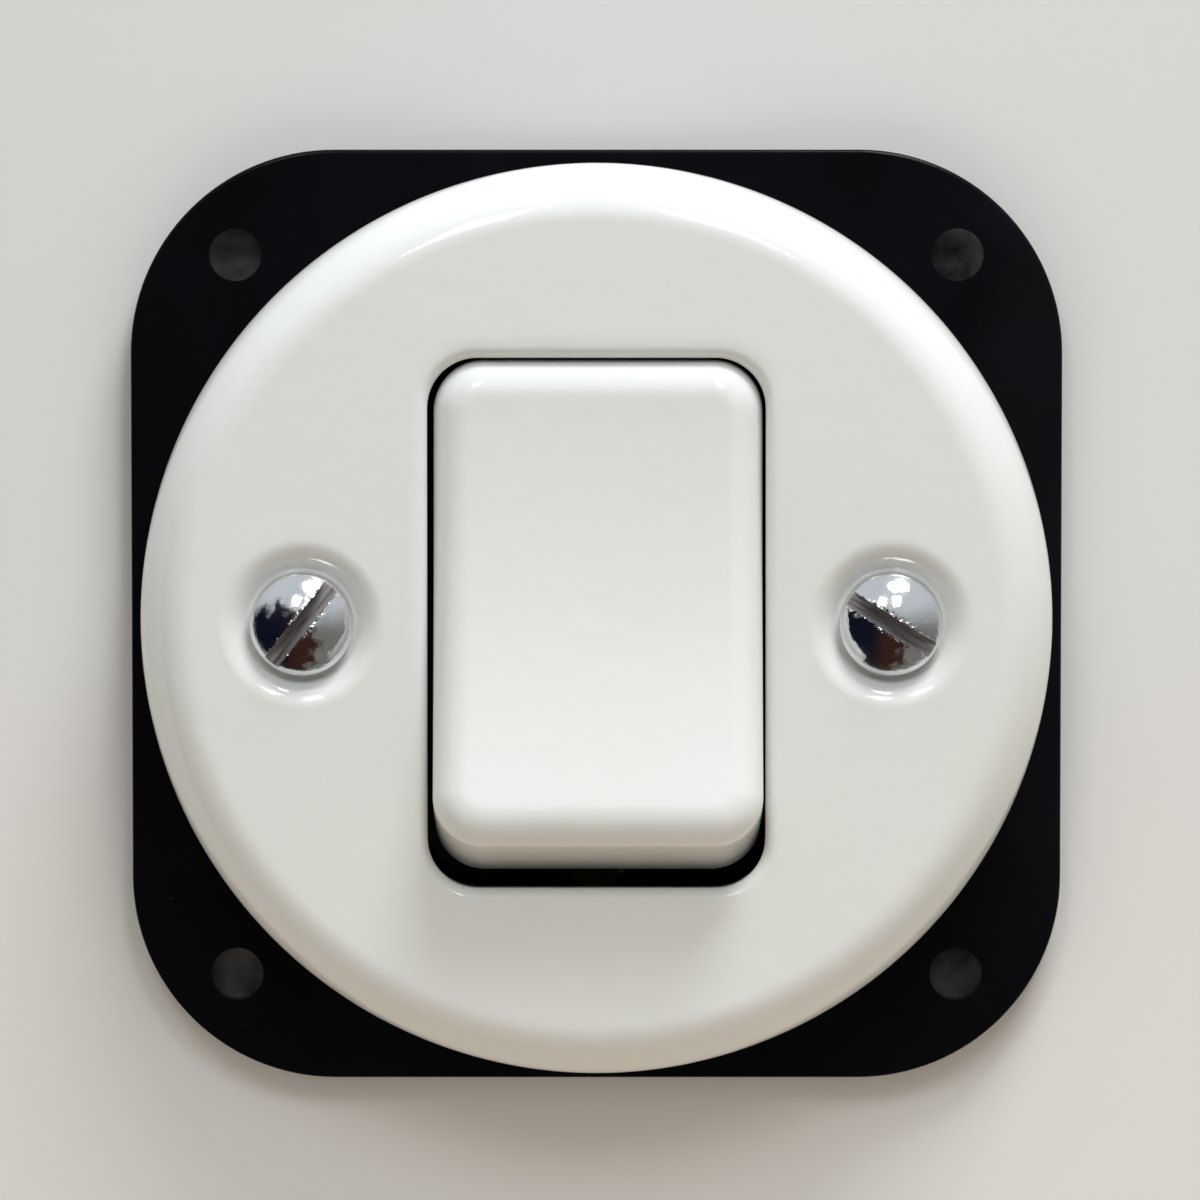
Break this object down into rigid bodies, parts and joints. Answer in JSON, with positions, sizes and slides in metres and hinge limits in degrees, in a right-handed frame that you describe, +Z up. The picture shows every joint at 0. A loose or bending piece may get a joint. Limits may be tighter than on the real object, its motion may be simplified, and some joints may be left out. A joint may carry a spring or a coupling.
{
  "type": "intermediate rocker switch",
  "caption": "Flush wall switch with a round white porcelain cover, a dished porcelain rocker and a black mounting plate with corner holes.",
  "frame": {"origin": "centre of the mounting plate's rear face, at the middle of its four corner holes", "axes": "+X to the right, +Y into the wall, +Z up; the rocker faces -Y with its top end pressed in"},
  "size_m": [0.071, 0.0354, 0.071],
  "materials": {
    "black_enamel": "gloss",
    "glazed_porcelain": "gloss",
    "chrome_plate": "polished",
    "brass": "satin",
    "zinc_plated_steel": "satin",
    "spring_steel": "satin",
    "silver_contact": "satin",
    "cream_ceramic": "satin",
    "brown_moulding": "satin",
    "laminate_sheet": "matte"
  },
  "bodies": {
    "base": {"mounting_plate": "black_enamel", "porcelain_cover": "glazed_porcelain", "pivot_bracket": "zinc_plated_steel", "switch_base": "cream_ceramic", "insulating_sheet": "laminate_sheet", "link_strip_inner": "brass", "link_strip_outer": "brass", "rear_cover": "brown_moulding", "rear_cover_rivets": "brass", "cover_screw_left": "chrome_plate", "cover_bush_left": "brass", "toggle_spring_left": "spring_steel", "common_strip_left": "brass", "cover_screw_right": "chrome_plate", "cover_bush_right": "brass", "toggle_spring_right": "spring_steel", "common_strip_right": "brass", "fixed_contact_top_left": "silver_contact", "terminal_top_left": "brass", "clamp_screw_top_left": "zinc_plated_steel", "fixed_contact_top_right": "silver_contact", "terminal_top_right": "brass", "clamp_screw_top_right": "zinc_plated_steel", "fixed_contact_bottom_left": "silver_contact", "terminal_bottom_left": "brass", "clamp_screw_bottom_left": "zinc_plated_steel", "fixed_contact_bottom_right": "silver_contact", "terminal_bottom_right": "brass", "clamp_screw_bottom_right": "zinc_plated_steel", "base_screw_top": "brass", "base_nut_top": "brass", "base_screw_bottom": "brass", "base_nut_bottom": "brass"},
    "rocker": {"porcelain_rocker": "glazed_porcelain", "rocker_carrier": "brown_moulding", "pivot_pin_left": "zinc_plated_steel", "pivot_pin_right": "zinc_plated_steel"},
    "blade_left": {"contact_blade_left": "brass", "blade_contacts_left": "silver_contact"},
    "blade_right": {"contact_blade_right": "brass", "blade_contacts_right": "silver_contact"}
  },
  "joints": [
    {"name": "rocker_hinge", "type": "hinge", "parent": "base", "child": "rocker", "pos_m": [0, -0.002, 0], "axis": [1, 0, 0], "range_deg": [0, 18], "deforming": ["toggle_spring_left", "toggle_spring_right"]},
    {"name": "blade_left_hinge", "type": "hinge", "parent": "base", "child": "blade_left", "pos_m": [-0.0052, 0.0074, 0], "axis": [1, 0, 0], "range_deg": [0, 12.3]},
    {"name": "blade_right_hinge", "type": "hinge", "parent": "base", "child": "blade_right", "pos_m": [0.0052, 0.0074, 0], "axis": [1, 0, 0], "range_deg": [0, 12.3]}
  ],
  "couplings": [
    {"joint": "blade_left_hinge", "follows": "rocker_hinge", "ratio": 0.66666},
    {"joint": "blade_right_hinge", "follows": "rocker_hinge", "ratio": 0.66666}
  ]
}
